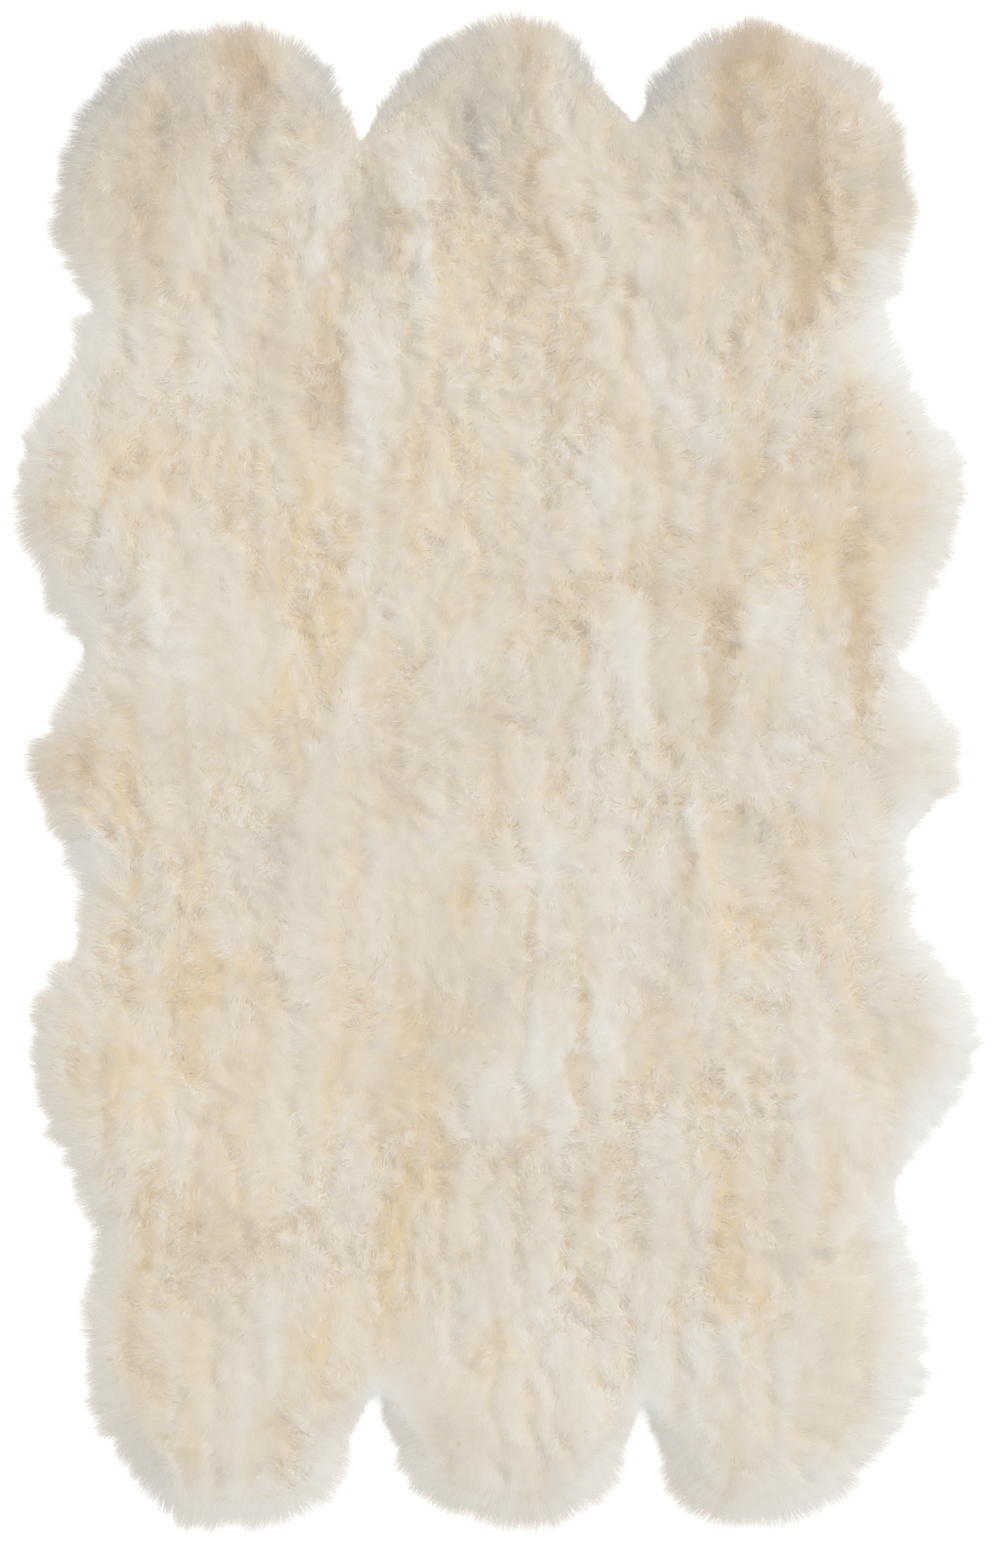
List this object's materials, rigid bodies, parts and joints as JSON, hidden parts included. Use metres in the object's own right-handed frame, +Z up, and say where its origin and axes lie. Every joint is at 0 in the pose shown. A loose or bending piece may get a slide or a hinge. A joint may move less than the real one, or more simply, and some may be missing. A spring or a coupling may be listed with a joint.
{
  "type": "sheepskin rug",
  "caption": "Flat rug of whole sheepskins sewn edge to edge, with rounded neck lobes at both ends, scalloped sides, deep wool and a shaggy rim; lies on a floor, wool side up.",
  "frame": {"origin": "on the floor, under the middle of the rug's box", "axes": "+X to the right and +Y along the rug as seen from above in the picture, +Z up out of the wool"},
  "size_m": [1.1892, 1.8438, 0.0598],
  "materials": {
    "wool": "deep soft sheep's wool, ivory to cream with tan patches, no gloss"
  },
  "bodies": {
    "root": {"pelt_top_left": "wool", "pelt_top_centre": "wool", "pelt_top_right": "wool", "pelt_bottom_left": "wool", "pelt_bottom_centre": "wool", "pelt_bottom_right": "wool"}
  },
  "joints": []
}
